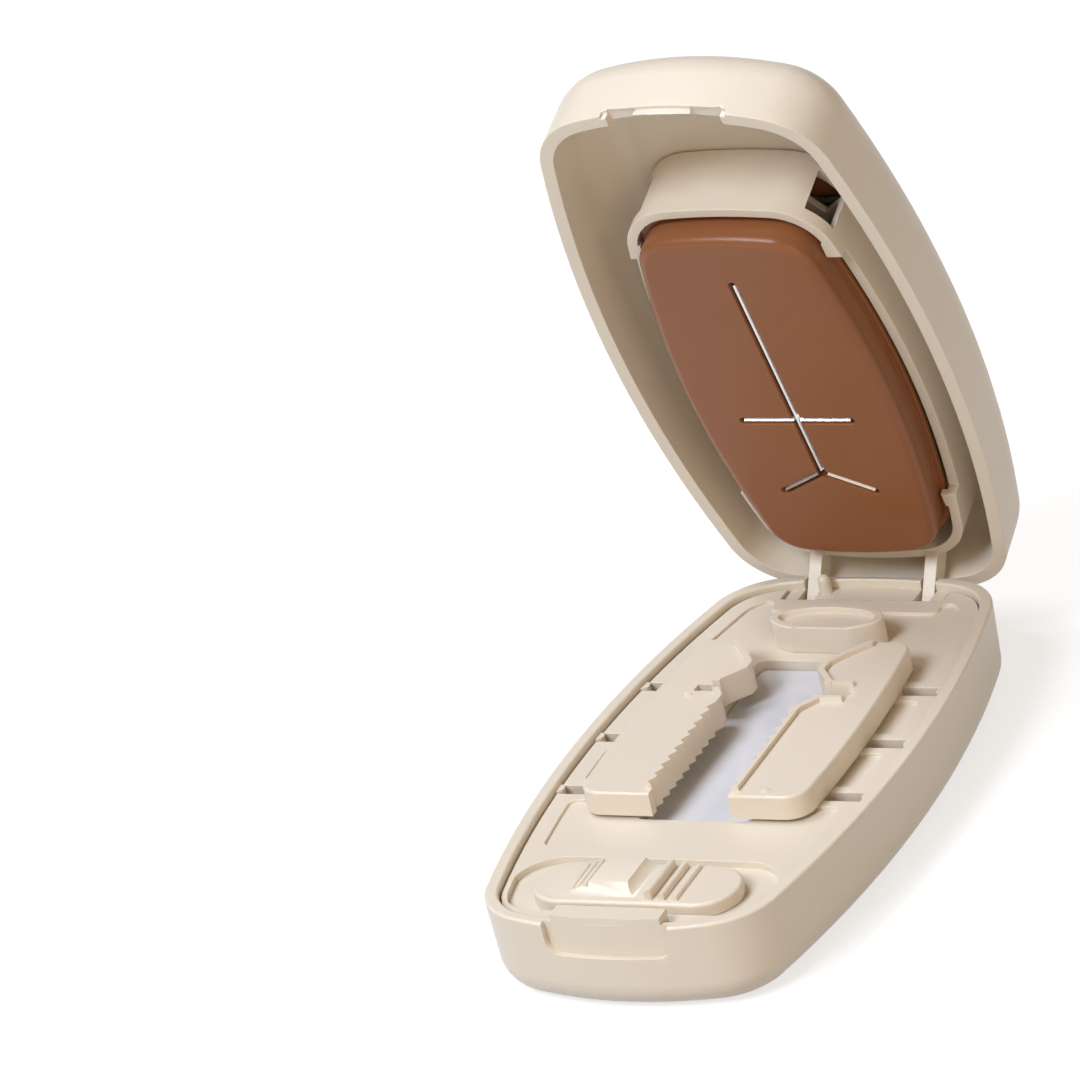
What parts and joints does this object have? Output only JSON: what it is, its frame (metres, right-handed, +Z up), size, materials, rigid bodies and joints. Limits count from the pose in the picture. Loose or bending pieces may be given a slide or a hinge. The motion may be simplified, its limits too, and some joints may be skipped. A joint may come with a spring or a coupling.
{
  "type": "pill splitter",
  "caption": "Barrel-shaped hinged pill splitter, shown open, with sliding grip jaws, a sprung blade guard in the lid and a press button on top.",
  "frame": {"origin": "centre of the base's flat underside", "axes": "+Z up from the underside, -Y towards the front with the latch and the jaw slider, +Y towards the hinge, +X right"},
  "size_m": [0.051, 0.1126, 0.1042],
  "materials": {
    "cream_abs": "satin moulded",
    "brown_abs": "matte moulded",
    "brown_soft_touch": "fine grained soft-touch",
    "steel_plate": "glossy light grey",
    "white_acetal": "smooth moulded",
    "blade_steel": "ground and polished",
    "steel_pin": "bright drawn",
    "spring_steel": "bright drawn wire"
  },
  "bodies": {
    "base": {"base_shell": "cream_abs", "deck_plate": "cream_abs", "cutting_plate": "steel_plate", "pill_stop": "cream_abs", "hinge_pin": "steel_pin"},
    "left_slide": {"left_jaw": "cream_abs", "left_carrier": "cream_abs", "jaw_slider": "cream_abs"},
    "right_slide": {"right_jaw": "cream_abs", "right_carrier": "cream_abs"},
    "gear": {"pinion": "white_acetal"},
    "lid": {"lid_shell": "cream_abs", "press_guide": "cream_abs", "guard_spring_front": "spring_steel", "guard_spring_rear": "spring_steel", "button_spring_left": "spring_steel", "button_spring_right": "spring_steel"},
    "guard": {"blade_guard": "brown_abs"},
    "press": {"button_panel": "brown_soft_touch", "blade_carrier": "brown_abs", "long_blade": "blade_steel", "cross_blade": "blade_steel", "left_branch_blade": "blade_steel", "right_branch_blade": "blade_steel"}
  },
  "joints": [
    {"name": "lid_hinge", "type": "hinge", "parent": "base", "child": "lid", "pos_m": [0, 0.0475, 0.0096], "axis": [1, 0, 0], "range_deg": [0, 68.2]},
    {"name": "guard_slide", "type": "slide", "parent": "lid", "child": "guard", "axis": [0, 0.9285, 0.3714], "range_m": [0, 0.0055], "deforming": ["guard_spring_front", "guard_spring_rear"]},
    {"name": "button_press", "type": "slide", "parent": "lid", "child": "press", "axis": [0, -0.9285, -0.3714], "range_m": [0, 0.001], "stiffness_N_per_m": 2500, "springref_m": -0.0008, "deforming": ["button_spring_left", "button_spring_right"]},
    {"name": "jaw_slide", "type": "slide", "parent": "base", "child": "left_slide", "axis": [1, 0, 0], "range_m": [-0.0034, 0.003]},
    {"name": "right_jaw_slide", "type": "slide", "parent": "base", "child": "right_slide", "axis": [-1, 0, 0], "range_m": [-0.0034, 0.003]},
    {"name": "pinion_spin", "type": "hinge", "parent": "base", "child": "gear", "pos_m": [0, -0.028, 0.008], "axis": [0, 0, 1], "range_deg": [-49, 43.2]}
  ],
  "couplings": [
    {"joint": "guard_slide", "follows": "lid_hinge", "m_per_rad": 0.0046206},
    {"joint": "right_jaw_slide", "follows": "jaw_slide", "ratio": 1},
    {"joint": "pinion_spin", "follows": "jaw_slide", "rad_per_m": 250}
  ]
}
